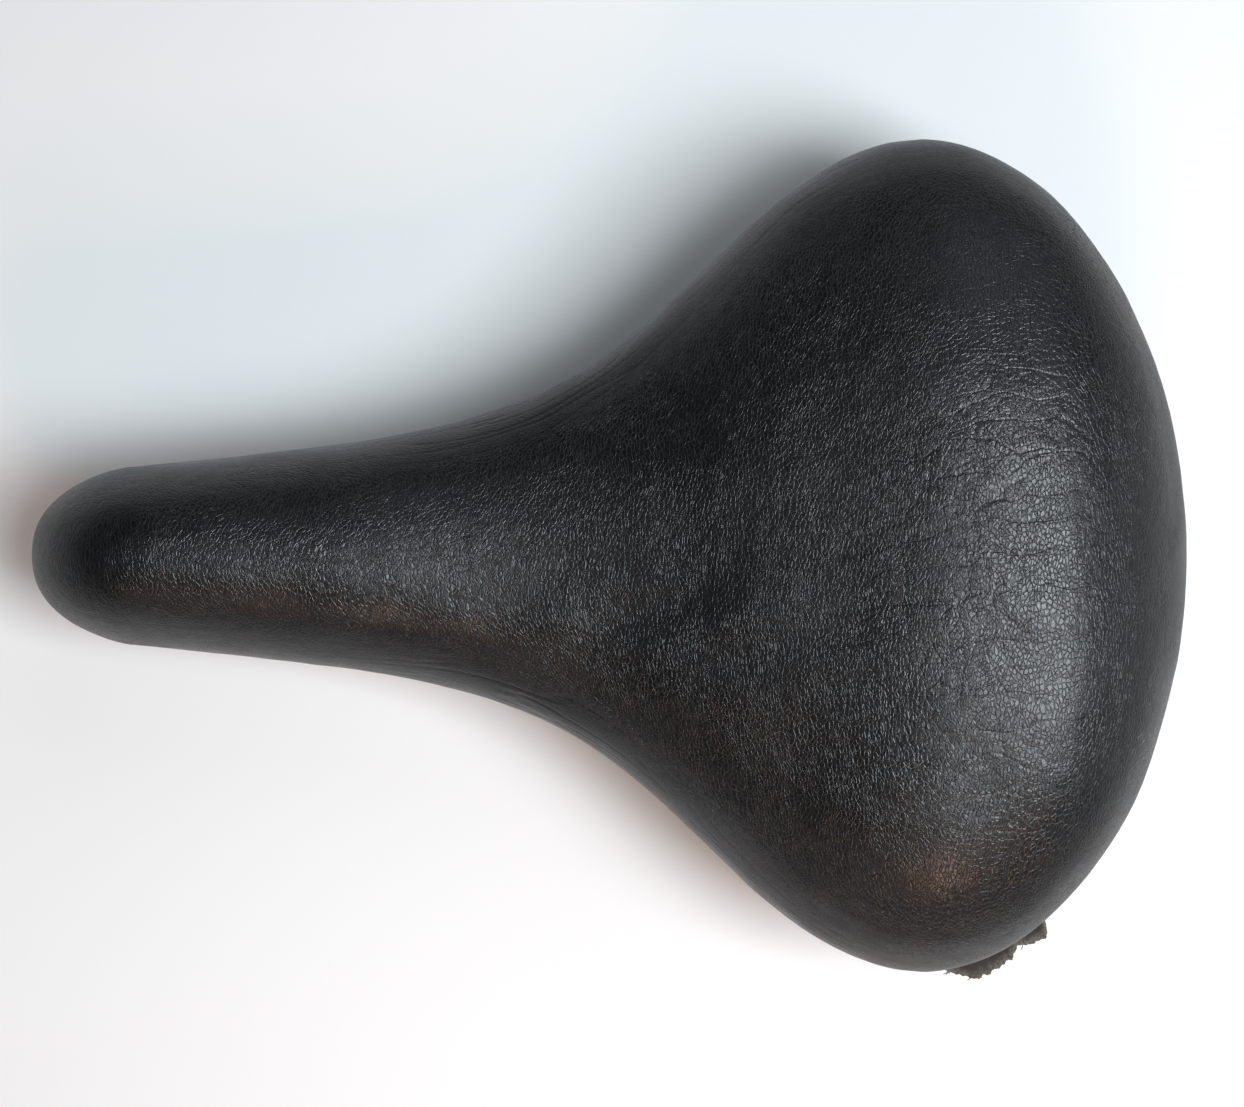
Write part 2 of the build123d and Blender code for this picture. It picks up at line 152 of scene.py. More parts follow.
def noise(p, seed=1):
    """Gradient noise, about -1 to 1, at the points p (n, 3)."""
    perm, grad = table(seed)
    p = np.asarray(p, float)
    i = np.floor(p).astype(int)
    f = p - i
    i &= 255
    u = f * f * f * (f * (f * 6 - 15) + 10)
    out = 0.0
    for a in (0, 1):
        for b in (0, 1):
            for c in (0, 1):
                h = perm[perm[perm[i[:, 0] + a] + (i[:, 1] + b)] + (i[:, 2] + c)] & 255
                g = grad[h]
                dot = g[:, 0] * (f[:, 0] - a) + g[:, 1] * (f[:, 1] - b) + g[:, 2] * (f[:, 2] - c)
                w = (u[:, 0] if a else 1 - u[:, 0]) * (u[:, 1] if b else 1 - u[:, 1]) * (u[:, 2] if c else 1 - u[:, 2])
                out = out + dot * w
    return out * 1.7


def noise2(a, b, seed, c=0.37):
    return noise(np.stack([a + 64, b + 64, np.full_like(a, c)], 1), seed)


def step(lo, hi, v):
    t = np.clip((v - lo) / (hi - lo), 0, 1)
    return t * t * (3 - 2 * t)


def bump(x, y, cx, cy, rx, ry, turn=0.0):
    """A soft hill of height 1 around a plan point."""
    c, s = math.cos(math.radians(turn)), math.sin(math.radians(turn))
    a, b = ((x - cx) * c + (y - cy) * s) / rx, (-(x - cx) * s + (y - cy) * c) / ry
    return np.exp(-(a * a + b * b))


def grid_object(name, rings, closed_ends=True):
    """Joins rings of equal length, each (n, 3) in millimetres, into one mesh."""
    n = len(rings[0])
    co = np.concatenate(rings) * MM
    faces = []
    k = np.arange(n)
    k1 = (k + 1) % n
    for r in range(len(rings) - 1):
        a, b = r * n, (r + 1) * n
        faces.append(np.stack([a + k, a + k1, b + k1, b + k], 1))
    faces = np.concatenate(faces)
    me = bpy.data.meshes.new(name)
    me.from_pydata(co.tolist(), [], faces.tolist())
    me.validate()
    ob = bpy.data.objects.new(name, me)
    bpy.context.scene.collection.objects.link(ob)
    return ob


def smooth(ob):
    ob.data.polygons.foreach_set("use_smooth", [True] * len(ob.data.polygons))
    ob.data.update()
    return ob


def merge(ob, dist):
    import bmesh
    bm = bmesh.new()
    bm.from_mesh(ob.data)
    bmesh.ops.remove_doubles(bm, verts=bm.verts, dist=dist)
    bmesh.ops.dissolve_degenerate(bm, edges=bm.edges, dist=dist * 0.5)
    bmesh.ops.recalc_face_normals(bm, faces=bm.faces)
    bm.to_mesh(ob.data)
    bm.free()
    ob.data.update()


def attribute(ob, name, values):
    a = ob.data.attributes.get(name) or ob.data.attributes.new(name, "FLOAT", "POINT")
    a.data.foreach_set("value", np.asarray(values, np.float32))


# ------------------------------------------------------------------ leathercloth cover
SIDE = 470       # points along each side
RINGS = 165      # points from the spine to the lower edge


def line_points(count, rings, lift, drop, inset=0.0):
    """Rings from the spine to the lower edge, evenly spaced along each cross line."""
    x, y, nx, ny, run = outline(count)
    xo, yo = x - nx * inset, y - ny * inset
    yo = np.where(np.abs(yo) < 1e-6, 0, yo)
    sx = -12.5 + (xo + 12.5) * 0.942
    phi = np.linspace(0, math.pi / 2, 500)
    out = np.zeros((rings + 1, len(x), 3))
    for i in range(len(x)):
        r = np.sin(phi) ** 0.8
        px, py = sx[i] + (xo[i] - sx[i]) * r, yo[i] * r
        # heights come from the un-inset shape, so squeeze y out to it
        k = 1.0 if inset == 0 else 1.0
        pz = height(px, py / max(1e-6, (abs(yo[i]) / max(abs(y[i]), 1e-6)) if inset else 1.0) * k, lift, drop) if inset else height(px, py, lift, drop)
        if inset == 0:
            pz[-1] = rim(NOSE_X - xo[i]) + lift
        step_len = np.sqrt(np.diff(px) ** 2 + np.diff(py) ** 2 + np.diff(pz) ** 2)
        cum = np.concatenate([[0], np.cumsum(step_len)])
        s = np.linspace(0, cum[-1], rings + 1)
        out[:, i, 0], out[:, i, 1], out[:, i, 2] = np.interp(s, cum, px), np.interp(s, cum, py), np.interp(s, cum, pz)
    return out, (x, y, nx, ny, run)


def grid_normals(g):
    """Outward normals of a (rings, points, 3) grid whose points run round a closed loop."""
    dr = np.gradient(g, axis=0)
    di = np.roll(g, -1, axis=1) - np.roll(g, 1, axis=1)
    n = np.cross(di, dr)
    l = np.linalg.norm(n, axis=2, keepdims=True)
    n = n / np.maximum(l, 1e-9)
    bad = l[..., 0] < 1e-7
    n[bad] = (0, 0, 1)
    if n[2:-2, :, 2].mean() < 0:
        n = -n
    return n


top, (ox, oy, onx, ony, orun) = line_points(SIDE, RINGS, ROLL, 0.0)
N = len(ox)
norm = grid_normals(top)
norm[0] = norm[2]
norm[1] = norm[2]
norm[0, :, 1] = 0
norm[0] /= np.linalg.norm(norm[0], axis=1)[:, None]

seg = np.linalg.norm(np.diff(top, axis=0), axis=2)
depth = np.concatenate([np.cumsum(seg[::-1], axis=0)[::-1], np.zeros((1, N))])   # distance down the surface to the lower edge

P = top.reshape(-1, 3)
X, Y, Z = P[:, 0], P[:, 1], P[:, 2]
Q = depth.reshape(-1)
S = np.tile(orun, RINGS + 1)
U = 1 - np.clip(Q / 60, 0, 1)

# Masks that the geometry and the material share.
skirt = 1 - step(6, 30, Q)
rear = bump(X, Y, -98, 0, 34, 62)
crack = np.clip(bump(X, Y, -97, -6, 26, 52) * 1.25, 0, 1)
fade_edge = step(1.5, 12, Q)

D = np.zeros(len(X))
D += 0.34 * noise(P / 30.0, 3) + 0.16 * noise(P / 13.0, 4)                      # foam under the skin is never quite even
D += 1.3 * bump(X, Y, -42, 0, 20, 34)                                        # where it climbs to the rear
D -= 1.05 * bump(X, Y, -43, -2, 15, 13)                                        # hollow in front of the sit bones
D -= 0.60 * bump(X, Y, -26, 12, 17, 5.5, 16) + 0.55 * bump(X, Y, -52, 21, 19, 6.0, 17)    # valley running back from it
D += 0.75 * bump(X, Y, -29, 31, 9, 8) + 0.5 * bump(X, Y, -2, 17, 11, 6, 8) + 0.45 * bump(X, Y, 22, 14.5, 9, 5) + 0.35 * bump(X, Y, 48, 14, 9, 5)
D += 1.5 * bump(X, Y, -86, 66, 20, 17, -20) + 0.9 * bump(X, Y, -92, -40, 26, 24)         # where the pad is fullest
D -= 0.6 * bump(X, Y, -58, 44, 15, 10, 40)
D -= 0.5 * bump(X, Y, -30, -34, 18, 6, -35)

# Creases: long shallow ones across the middle of the rear, running fore and aft.
warp = 2.4 * noise(P / 17.0, 11)
a, b = X * math.cos(0.17) + Y * math.sin(0.17), -X * math.sin(0.17) + Y * math.cos(0.17)
ridge = 1 - np.abs(noise2((a + warp) / 30.0, (b + warp) / 6.5, 21)) * 2.2
crease = step(0.80, 0.99, ridge) * np.clip(bump(X, Y, -76, 1, 26, 22) + 0.5 * bump(X, Y, -98, -10, 22, 40), 0, 1)
D -= 0.15 * crease
ridge2 = 1 - np.abs(noise2((X + 1.5 * warp) / 9.0, (Y - warp) / 22.0, 22)) * 2.0
crease2 = step(0.82, 0.99, ridge2) * np.clip(0.9 * crack + 0.4 * bump(X, Y, -20, 0, 40, 30), 0, 1)
D -= 0.07 * crease2
# Wrinkles along the skirt, strongest at the waist.
waist = bump(X, np.abs(Y), -4, 34, 46, 22) + 0.7 * bump(X, np.abs(Y), -60, 76, 34, 22)
ridge3 = 1 - np.abs(noise2((S + 6 * warp) / 42.0, (Q + 0.5 * warp) / 3.4, 23)) * 2.1
wrinkle = step(0.66, 0.99, ridge3) * np.clip(waist, 0, 1) * step(3, 8, Q) * (1 - step(20, 34, Q))
D -= 0.14 * wrinkle
D += 0.07 * noise2(S / 55.0, Q / 5.0, 24) * np.clip(waist, 0, 1) * (1 - step(22, 36, Q))
# Gathers drawn up from the lower edge, closest round the nose and the tail.
ends = np.clip(bump(X, Y, 122, 0, 26, 60) + 0.8 * bump(X, np.abs(Y), -128, 55, 34, 60) + 0.25, 0, 1)
gather = noise2(S / 3.6, Q / 16.0, 25) * np.exp(-Q / 7.0)
D += 0.22 * gather * ends
# Fine irregular grain big enough to be shape.
D += 0.05 * noise(P / 2.6, 31) * (1 - 0.6 * skirt)

lower = step(0.0, 3.0, Q)
moved = P + norm.reshape(-1, 3) * (D * (0.25 + 0.75 * lower))[:, None]
moved[-N:, 2] = rim(NOSE_X - ox) + ROLL + 0.22 * (gather * ends)[-N:]
outer = moved.reshape(RINGS + 1, N, 3)
outer_norm = grid_normals(outer)
outer_norm[:3] = norm[:3]

rings = [outer[r] for r in range(RINGS + 1)]
masks = {"crack": [crack.reshape(RINGS + 1, N)[r] for r in range(RINGS + 1)],
         "skirt": [skirt.reshape(RINGS + 1, N)[r] for r in range(RINGS + 1)],
         "under": [np.zeros(N)] * (RINGS + 1)}


def add_ring(inset, z_up, ragged=0.0, under=1.0):
    """One ring of the rolled edge or hem, inset from the outline and z_up above the rim line."""
    inset = np.asarray(inset) + ragged
    x, y = ox - onx * inset, oy - ony * inset
    rings.append(np.stack([x, y, rim(NOSE_X - x) + z_up], 1))
    masks["crack"].append(np.zeros(N))
    masks["skirt"].append(np.ones(N))
    masks["under"].append(np.full(N, under))


pleat = noise2(orun / 4.2, np.zeros(N), 41) * np.clip(0.35 + bump(ox, oy, 118, 0, 24, 60) + 0.7 * bump(ox, np.abs(oy), -125, 60, 36, 50), 0, 1)
cut = 0.45 * noise2(orun / 6.0, np.zeros(N), 42) + 0.25 * noise2(orun / 1.7, np.zeros(N), 43)
for ang in np.linspace(0, math.pi / 2, 7)[1:]:
    add_ring(ROLL * (1 - math.cos(ang)), ROLL * (1 - math.sin(ang)) + 0.12 * pleat * math.sin(ang) + 0.1, under=0.2 + 0.8 * ang / 1.6)
for k, ins in enumerate(np.linspace(ROLL, HEM - 0.4, 9)[1:]):
    add_ring(ins, 0.1 + 0.22 * pleat * (1 - 0.6 * k / 8), ragged=cut * k / 8)
add_ring(HEM - 0.15, 0.35 + 0.1 * pleat, ragged=cut)
add_ring(HEM - 0.2, 0.85, ragged=cut)
add_ring(HEM - 0.6, 1.12, ragged=cut)
add_ring(4.5, 1.14)
add_ring(2.6, 1.16)
add_ring(1.7, 1.6)
inner_rows = list(range(RINGS, -1, -5))
if inner_rows[-1] != 0:
    inner_rows.append(0)
for r in inner_rows[1:]:
    rings.append(outer[r] - outer_norm[r] * SKIN)
    masks["crack"].append(np.zeros(N)); masks["skirt"].append(np.ones(N)); masks["under"].append(np.ones(N))

cover = grid_object("seat_cover", rings)
for key, rows in masks.items():
    attribute(cover, key, np.concatenate(rows))
allco = np.concatenate(rings)
attribute(cover, "speck", np.clip(bump(allco[:, 0], allco[:, 1], -139, 44, 8, 17, -12), 0, 1) + 0.12 * np.clip(bump(allco[:, 0], allco[:, 1], -134, -5, 12, 60), 0, 1))
merge(cover, 0.00004)
smooth(cover)

# ------------------------------------------------------------------ foam pad
def dome(x, y, inset, drop, floor_up):
    """The seat's top surface taken in by inset at the sides and lowered by drop at the crown."""
    d = np.concatenate([24 * np.linspace(0, 1, 400) ** 2, np.linspace(24, 213, 1500)[1:-1], LENGTH - 62 * np.linspace(1, 0, 600) ** 2])
    w = half_width(d)
    td, tw = np.gradient(d), np.gradient(w)
    n = np.maximum(np.hypot(td, tw), 1e-9)
    od, ow = d + tw / n * inset, w - td / n * inset
    order = np.argsort(od)
    at = np.clip(NOSE_X - x, inset, LENGTH - inset)
    w = np.maximum(np.interp(at, od[order], ow[order]), 1e-6)
    n = power(at)
    u = np.clip(np.abs(y) / w, 0, 1)
    f = (1 - np.clip(1 - (at - inset) / 36, 0, 1) ** 2.3) ** (1 / 2.3) * (1 - np.clip(1 - (LENGTH - inset - at) / 38, 0, 1) ** 2.2) ** (1 / 2.2)
    zr = rim(at) + floor_up
    return zr + np.maximum((hermite(D_T, Z_T, at) - drop - zr) * f, 0) * (1 - u**n) ** (1 / n)


FOAM_FLOOR = 4.7        # the shell's flange fills the rim up to here
foam_top, (fx, fy, fnx, fny, frun) = line_points(150, 44, 1.9, 1.6)
foam_n = grid_normals(foam_top)
foam_n[:2] = (0, 0, 1)
pad = []
for r in range(45):
    q = foam_top[r] - foam_n[r] * (1.55 if r > 1 else 0.4)
    q[:, 2] = np.maximum(q[:, 2], rim(NOSE_X - q[:, 0]) + FOAM_FLOOR)
    pad.append(q)
ex, ey = fx - fnx * 3.72, fy - fny * 3.72
spine = -12.5 + (ex + 12.5) * 0.942
for phi in np.linspace(math.pi / 2, 0, 26):
    t = math.sin(phi) ** 0.8
    px, py = spine + (ex - spine) * t, ey * t
    pz = dome(px, py, 3.72, 1.5 + hermite(D_F, T_F, NOSE_X - px) - 0.35, 2.9)
    pad.append(np.stack([px, py, np.maximum(pz, rim(NOSE_X - px) + FOAM_FLOOR)], 1))
foam = grid_object("foam_core", pad)
merge(foam, 0.00005)
smooth(foam)

# ------------------------------------------------------------------ torn strip of hem
fd = np.linspace(217.5, 243.0, 96)
fx0, fy0 = NOSE_X - fd, half_width(fd)
ty_ = half_width(fd + 0.5) - half_width(fd - 0.5)
nn = np.hypot(1, ty_)
fnx0, fny0 = ty_ / nn, 1 / nn           # outward from the left side: +Y, and a little to the rear past the widest place
fnx0 = -(-ty_ / nn)
reach = np.interp(fd, [217.5, 220, 222.5, 225, 227.5, 229, 231, 233.5, 235.5, 237, 239, 241, 243], [-1.0, 2.0, 4.0, 5.3, 5.8, 5.4, 5.5, 5.0, 3.3, 4.5, 5.6, 5.2, -1.5])
reach = reach + 0.75 * noise2(fd / 1.1, np.zeros(96), 51) + 0.35 * noise2(fd / 0.4, np.zeros(96), 52)
rows = 26
flap_top, flap_low = [], []
for k in range(rows):
    t = k / (rows - 1)
    off = -8.5 + t * (reach + 8.5)
    xx, yy = fx0 + fnx0 * 0 + (ty_ / nn) * off, fy0 + (1 / nn) * off
    out_t = np.clip((off + 1.0) / 5.0, 0, 1)
    wav = 0.5 * noise2(fd / 5.0, off / 5.0, 53) + 0.22 * noise2(fd / 1.6, off / 1.6, 54)
    zz = rim(fd) - 0.75 - 0.9 * out_t**1.5 + wav * (0.25 + 0.75 * out_t) * 0.8
    zz = np.minimum(zz, rim(fd) - 0.35)
    flap_top.append(np.stack([xx, yy, zz], 1))
    th = 0.75 * (1 - 0.65 * step(0.85, 1.0, np.full(96, t)))
    flap_low.append(np.stack([xx, yy, zz - th], 1))
verts = np.concatenate(flap_top + flap_low) * MM
fa = []
n = 96
for k in range(rows - 1):
    for i in range(n - 1):
        a = k * n + i
        fa.append((a, a + 1, a + n + 1, a + n))
        b = (rows + k) * n + i
        fa.append((b, b + n, b + n + 1, b + 1))
R0 = rows * n
for i in range(n - 1):
    fa.append((i, R0 + i, R0 + i + 1, i + 1))
    e = (rows - 1) * n + i
    fa.append((e, e + 1, R0 + e + 1, R0 + e))
for k in range(rows - 1):
    a, b = k * n, (k + 1) * n
    fa.append((a, b, R0 + b, R0 + a))
    a, b = k * n + n - 1, (k + 1) * n + n - 1
    fa.append((a, R0 + a, R0 + b, b))
me = bpy.data.meshes.new("torn_flap")
me.from_pydata(verts.tolist(), [], fa)
me.validate()
flap = bpy.data.objects.new("torn_flap", me)
bpy.context.scene.collection.objects.link(flap)
tt = np.repeat(np.linspace(0, 1, rows), n)
attribute(flap, "edge", np.concatenate([tt, tt]))
attribute(flap, "below", np.concatenate([np.zeros(rows * n), np.ones(rows * n)]))
smooth(flap)
import bmesh
bm = bmesh.new(); bm.from_mesh(me); bmesh.ops.recalc_face_normals(bm, faces=bm.faces); bm.to_mesh(me); bm.free()

# Loose threads of the backing along the torn edge.
rs = np.random.RandomState(8)
curve = bpy.data.curves.new("torn_threads", "CURVE")
curve.dimensions = "3D"
curve.bevel_depth = 0.00011
curve.bevel_resolution = 1
curve.use_fill_caps = True
edge_pts = flap_top[-1]
for _ in range(22):
    i = rs.randint(3, n - 3)
    p = edge_pts[i] - np.array([ty_[i] / nn[i], 1 / nn[i], 0]) * rs.uniform(0.2, 1.0) - np.array([0, 0, 0.3])
    ang = rs.normal(0, 0.7)
    base = np.array([ty_[i] / nn[i], 1 / nn[i], 0.0])
    side = np.array([-base[1], base[0], 0.0])
    length = rs.uniform(0.4, 1.2)
    sp = curve.splines.new("POLY")
    sp.points.add(4)
    bend = rs.normal(0, 0.8)
    for k in range(5):
        t = k / 4
        q = p + (base * math.cos(ang) + side * math.sin(ang)) * length * t + side * bend * t * t * 0.6 - np.array([0, 0, 0.35 * t * t * rs.uniform(0.2, 1.2)])
        sp.points[k].co = (q[0] * MM, q[1] * MM, q[2] * MM, 1)
threads = bpy.data.objects.new("torn_threads", curve)
bpy.context.scene.collection.objects.link(threads)


# ------------------------------------------------------------------ coil springs with closed, ground ends
def spring_object(name, sy, hand=1):
    cx, cy, z0, z1, r, wire = -94.0, sy, -5.0, 41.0, 16.25, 2.75
    rise = z1 - z0 - 2 * wire - 0.2
    end_turn, end_rise = 0.62, 3.5
    mid_turn = 3.3
    turns = mid_turn + 2 * end_turn
    count = 260
    t = np.linspace(0, turns, count)
    z = np.interp(t, [0, end_turn, end_turn + mid_turn, turns], [0, end_rise, rise - end_rise, rise])
    k = np.ones(9) / 9
    z = np.convolve(np.pad(z, 4, mode="edge"), k, mode="valid")
    z = z - z[0]
    z *= rise / z[-1]
    ang = hand * (2 * math.pi * t) + (0 if hand > 0 else 0)
    c = np.stack([cx + r * np.cos(ang), cy + r * np.sin(ang), z0 + wire + 0.1 + z], 1)
    tan = np.gradient(c, axis=0)
    tan /= np.linalg.norm(tan, axis=1)[:, None]
    rad = np.stack([np.cos(ang), np.sin(ang), np.zeros(count)], 1)
    up = np.cross(tan, rad)
    up /= np.linalg.norm(up, axis=1)[:, None]
    m = 20
    rings_ = []
    ph = np.linspace(0, 2 * math.pi, m, endpoint=False)
    for i in range(count):
        sec = c[i] + wire * (np.cos(ph)[:, None] * rad[i] + np.sin(ph)[:, None] * up[i])
        rings_.append(sec)
    # rounded ends
    for at, sgn in ((0, -1), (count - 1, 1)):
        extra = []
        for q, rr in ((0.35, 0.97), (0.7, 0.8), (0.9, 0.5), (0.97, 0.02)):
            extra.append(c[at] + tan[at] * sgn * q * 1.0 + rr * wire * (np.cos(ph)[:, None] * rad[at] + np.sin(ph)[:, None] * up[at]))
        rings_ = extra[::-1] + rings_ if at == 0 else rings_ + extra
    for q in rings_:
        q[:, 2] = np.clip(q[:, 2], z0 + 0.08, z1 - 0.08)
    ob = grid_object(name, rings_)
    merge(ob, 0.00003)
    bm = bmesh.new(); bm.from_mesh(ob.data)
    bmesh.ops.holes_fill(bm, edges=[e for e in bm.edges if e.is_boundary], sides=0)
    bmesh.ops.recalc_face_normals(bm, faces=bm.faces)
    bm.to_mesh(ob.data); bm.free()
    return smooth(ob)


springs = {s: spring_object(f"{s}_coil", y, 1) for s, y in (("left", 50.0), ("right", -50.0))}


# ------------------------------------------------------------------ materials
class Mat:
    def __init__(self, name):
        self.m = bpy.data.materials.new(name)
        self.m.use_nodes = True
        self.t = self.m.node_tree
        self.t.nodes.clear()
        self.out = self.t.nodes.new("ShaderNodeOutputMaterial")
        self.b = self.t.nodes.new("ShaderNodeBsdfPrincipled")
        self.link(self.b.outputs[0], self.out.inputs[0])
        self.co = self.t.nodes.new("ShaderNodeTexCoord").outputs["Object"]

    def link(self, a, b):
        self.t.links.new(a, b)

    def node(self, kind, **kw):
        n = self.t.nodes.new(kind)
        for k, v in kw.items():
            if k == "ins":
                for kk, vv in v.items():
                    if isinstance(vv, bpy.types.NodeSocket):
                        self.link(vv, n.inputs[kk])
                    else:
                        n.inputs[kk].default_value = vv
            else:
                setattr(n, k, v)
        return n

    def math(self, op, a, b=0.0, c=None, clamp=False):
        n = self.t.nodes.new("ShaderNodeMath")
        n.operation, n.use_clamp = op, clamp
        for i, v in enumerate((a, b, c)):
            if v is None:
                continue
            if isinstance(v, bpy.types.NodeSocket):
                self.link(v, n.inputs[i])
            else:
                n.inputs[i].default_value = v
        return n.outputs[0]

    def noise(self, scale, detail=3.0, rough=0.55, distortion=0.0, co=None, seed=0.0):
        n = self.node("ShaderNodeTexNoise", noise_dimensions="4D", ins={"Vector": co or self.co, "Scale": scale, "Detail": detail, "Roughness": rough, "Distortion": distortion, "W": seed})
        return n.outputs["Fac"]

    def noise_vec(self, scale, amount, co=None, seed=0.0):
        """The coordinate moved about by noise, amount in metres."""
        n = self.node("ShaderNodeTexNoise", noise_dimensions="4D", ins={"Vector": co or self.co, "Scale": scale, "Detail": 2.0, "W": seed})
        off = self.node("ShaderNodeVectorMath", operation="SUBTRACT", ins={0: n.outputs["Color"], 1: (0.5, 0.5, 0.5)})
        mul = self.node("ShaderNodeVectorMath", operation="SCALE", ins={0: off.outputs[0], "Scale": amount})
        return self.node("ShaderNodeVectorMath", operation="ADD", ins={0: co or self.co, 1: mul.outputs[0]}).outputs[0]

    def scaled(self, v, co=None):
        return self.node("ShaderNodeVectorMath", operation="MULTIPLY", ins={0: co or self.co, 1: v}).outputs[0]

    def edge(self, scale, co, randomness=1.0):
        n = self.node("ShaderNodeTexVoronoi", feature="DISTANCE_TO_EDGE", ins={"Vector": co, "Scale": scale, "Randomness": randomness})
        return n.outputs["Distance"]

    def ramp(self, fac, lo, hi, a=0.0, b=1.0, smooth=True):
        n = self.t.nodes.new("ShaderNodeMapRange")
        n.interpolation_type = "SMOOTHSTEP" if smooth else "LINEAR"
        n.clamp = True
        self.link(fac, n.inputs["Value"])
        for key, v in (("From Min", lo), ("From Max", hi), ("To Min", a), ("To Max", b)):
            n.inputs[key].default_value = v
        return n.outputs["Result"]

    def mix(self, fac, a, b):
        n = self.t.nodes.new("ShaderNodeMix")
        n.data_type = "RGBA"
        for i, v in ((0, fac), (6, a), (7, b)):
            if isinstance(v, bpy.types.NodeSocket):
                self.link(v, n.inputs[i])
            else:
                n.inputs[i].default_value = v if i == 0 else (*v, 1.0)
        return n.outputs[2]

    def attr(self, name):
        return self.node("ShaderNodeAttribute", attribute_name=name).outputs["Fac"]

    def bump(self, height, distance, normal=None, strength=1.0):
        n = self.t.nodes.new("ShaderNodeBump")
        n.inputs["Strength"].default_value = strength
        n.inputs["Distance"].default_value = distance
        self.link(height, n.inputs["Height"])
        if normal is not None:
            self.link(normal, n.inputs["Normal"])
        return n.outputs[0]

    def set(self, **kw):
        for k, v in kw.items():
            k = k.replace("_", " ")
            s = self.b.inputs[k]
            if isinstance(v, bpy.types.NodeSocket):
                self.link(v, s)
            else:
                s.default_value = v if not isinstance(v, tuple) else (*v, 1.0)
        return self


def give(ob, mat):
    ob.data.materials.clear()
    ob.data.materials.append(mat.m)


def leathercloth(name, tint=(0.0034, 0.0034, 0.0038), dusty=1.0):
    m = Mat(name)
    crack_, skirt_, under_ = m.attr("crack"), m.attr("skirt"), m.attr("under")
    # pebbles drawn out across the seat, and along the hem on the skirt
    w1 = m.noise_vec(330.0, 0.0011)
    w0 = m.noise_vec(60.0, 0.0060, co=w1, seed=4.0)
    mixv = m.t.nodes.new("ShaderNodeMix")
    mixv.data_type = "VECTOR"
    m.link(skirt_, mixv.inputs[0])
    m.link(m.scaled((1.0, 0.60, 1.0), co=w0), mixv.inputs[4])
    m.link(m.scaled((0.42, 0.95, 1.5), co=w0), mixv.inputs[5])
    across = mixv.outputs[1]
    cell = m.edge(1220.0, across)
    cell_h = m.ramp(cell, 0.0, 0.17)
    streak = m.noise(1350.0, 3.0, 0.62, co=across, seed=31.0)
    fine = m.edge(2100.0, across)
    fine_h = m.ramp(fine, 0.0, 0.35)
    # longer creases over them, mostly along the seat, and a few across it
    w3 = m.noise_vec(70.0, 0.011, seed=5.0)
    long_ = m.edge(135.0, m.scaled((0.30, 1.0, 0.6), co=w3))
    long_h = m.ramp(long_, 0.0, 0.055)
    w4 = m.noise_vec(110.0, 0.006, seed=9.0)
    net = m.edge(260.0, m.scaled((1.0, 0.55, 0.8), co=w4))
    net_h = m.ramp(net, 0.0, 0.10)
    soft = m.noise(60.0, 4.0, seed=3.0)
    amount = m.math("MULTIPLY", m.ramp(skirt_, 0.0, 1.0, 1.0, 0.55), m.ramp(soft, 0.3, 0.7, 0.75, 1.15))
    h = m.math("MULTIPLY", m.math("MULTIPLY", cell_h, 0.55), amount)
    h = m.math("MULTIPLY_ADD", m.math("MULTIPLY", streak, amount), 0.34, h)
    h = m.math("MULTIPLY_ADD", fine_h, 0.08, h)
    n1 = m.bump(h, 0.000100)
    lines = m.math("MULTIPLY_ADD", net_h, 0.45, m.math("MULTIPLY", long_h, 0.9))
    lines = m.math("MULTIPLY", lines, m.ramp(crack_, 0.0, 1.0, 0.30, 1.0))
    n2 = m.bump(lines, 0.00006, n1)
    n3 = m.bump(m.noise(5200.0, 3.0, 0.6, seed=7.0), 0.000012, n2)
    # a little grey dust in the furrows
    furrow = m.math("SUBTRACT", 1.0, m.ramp(cell, 0.0, 0.14))
    patch = m.noise(22.0, 3.0, seed=12.0)
    dust = m.math("MULTIPLY", furrow, m.ramp(patch, 0.35, 0.75, 0.25, 1.0))
    c1 = m.mix(m.math("MULTIPLY", dust, 0.35 * dusty), tint, (0.0085, 0.0080, 0.0078))
    c2 = m.mix(m.ramp(m.noise(35.0, 5.0, seed=14.0), 0.45, 0.75, 0.0, 0.5), c1, (0.0060, 0.0060, 0.0066))
    spots = m.ramp(m.noise(420.0, 2.0, 0.5, seed=17.0), 0.755, 0.80)
    c2b = m.mix(m.math("MULTIPLY", spots, 0.22 * dusty), c2, (0.12, 0.115, 0.105))
    grit = m.math("MULTIPLY", m.ramp(m.noise(640.0, 2.0, 0.5, seed=19.0), 0.62, 0.70), m.attr("speck"))
    c3 = m.mix(m.math("MULTIPLY", grit, 0.7 * dusty), c2b, (0.16, 0.15, 0.135))
    c4 = m.mix(m.math("MULTIPLY", under_, 0.6), c3, (0.016, 0.0155, 0.015))
    rough = m.math("ADD", m.ramp(m.noise(48.0, 4.0, seed=21.0), 0.3, 0.7, 0.28, 0.35), m.math("MULTIPLY", dust, 0.12))
    rough = m.math("ADD", rough, m.math("MULTIPLY", skirt_, 0.08))
    m.set(Base_Color=c4, Roughness=rough, Normal=n3)
    m.b.inputs["Specular IOR Level"].default_value = 0.5
    return m


